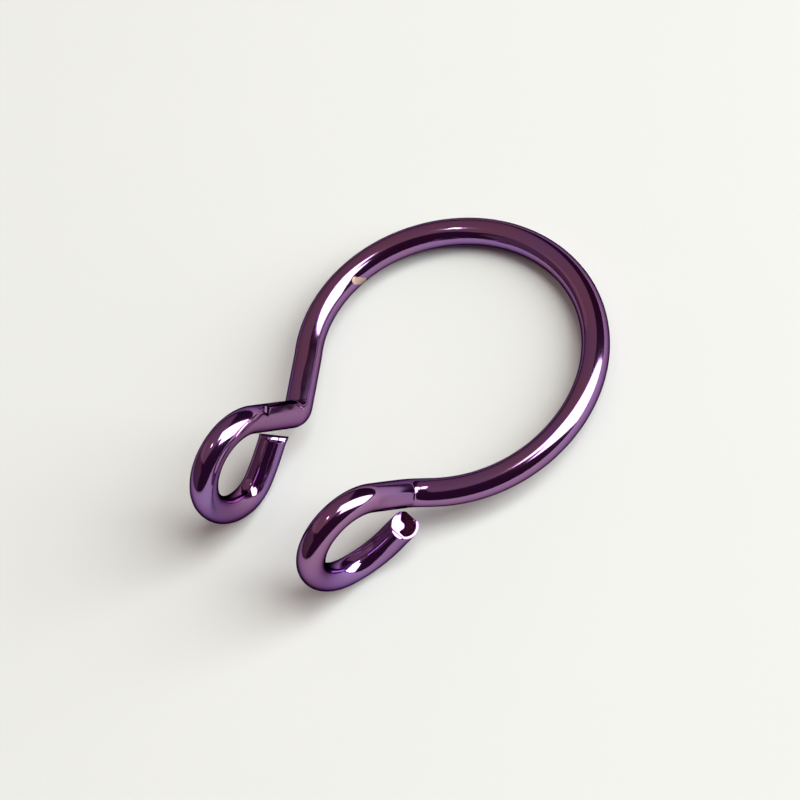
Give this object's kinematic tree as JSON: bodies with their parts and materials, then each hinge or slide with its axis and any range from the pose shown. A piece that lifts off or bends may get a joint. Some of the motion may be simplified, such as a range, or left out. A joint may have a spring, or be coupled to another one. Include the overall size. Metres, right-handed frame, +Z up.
{
  "type": "clip-on septum ring",
  "caption": "Open wire hoop with a curled eye at each side of its mouth, worn as a nose ring that grips the septum by its own spring, with no piercing.",
  "frame": {"origin": "centre of the footprint, on the table surface", "axes": "+Z up with the ring lying as it does by itself, on the back of the hoop and the bottom of both curls; the mouth and the curls face -Y, the back of the hoop faces +Y, and +X runs across the mouth to the right half"},
  "size_m": [0.0118, 0.0158, 0.0048],
  "materials": {
    "coated_wire": "glossy plum coat on drawn wire and over its two cut ends"
  },
  "bodies": {
    "root": {"ring_wire": "coated_wire"}
  },
  "joints": []
}
